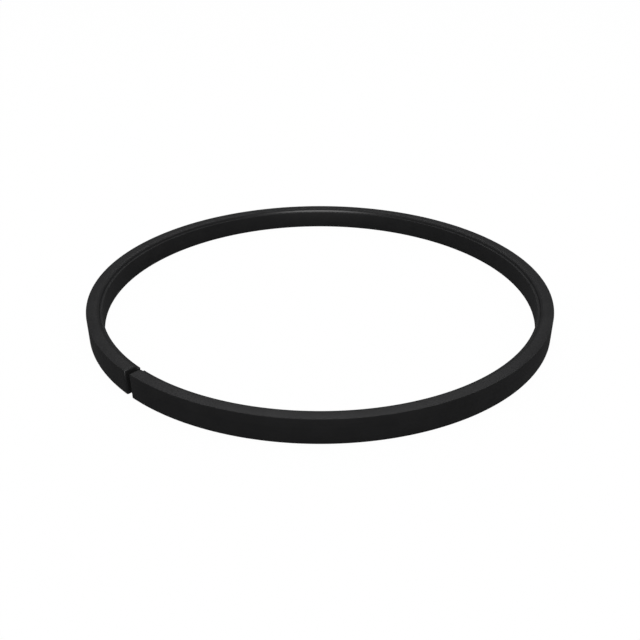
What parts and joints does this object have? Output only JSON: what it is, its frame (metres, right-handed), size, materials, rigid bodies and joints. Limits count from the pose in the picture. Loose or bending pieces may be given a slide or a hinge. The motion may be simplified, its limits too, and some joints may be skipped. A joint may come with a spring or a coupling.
{
  "type": "sealing ring",
  "caption": "Black plastic split sealing ring: a thin, tall band with a chamfered step and a narrow ledge at its upper inner edge and a straight butt gap.",
  "frame": {"origin": "centre of the ring, on the plane of its lower flank", "axes": "+Z along the ring's axis, from the plain flank up to the stepped one; the butt gap is in the quarter of -X and -Y"},
  "size_m": [0.1, 0.1, 0.005],
  "materials": {
    "black_plastic": "dull, as turned"
  },
  "bodies": {
    "root": {"sealing_ring": "black_plastic"}
  },
  "joints": []
}
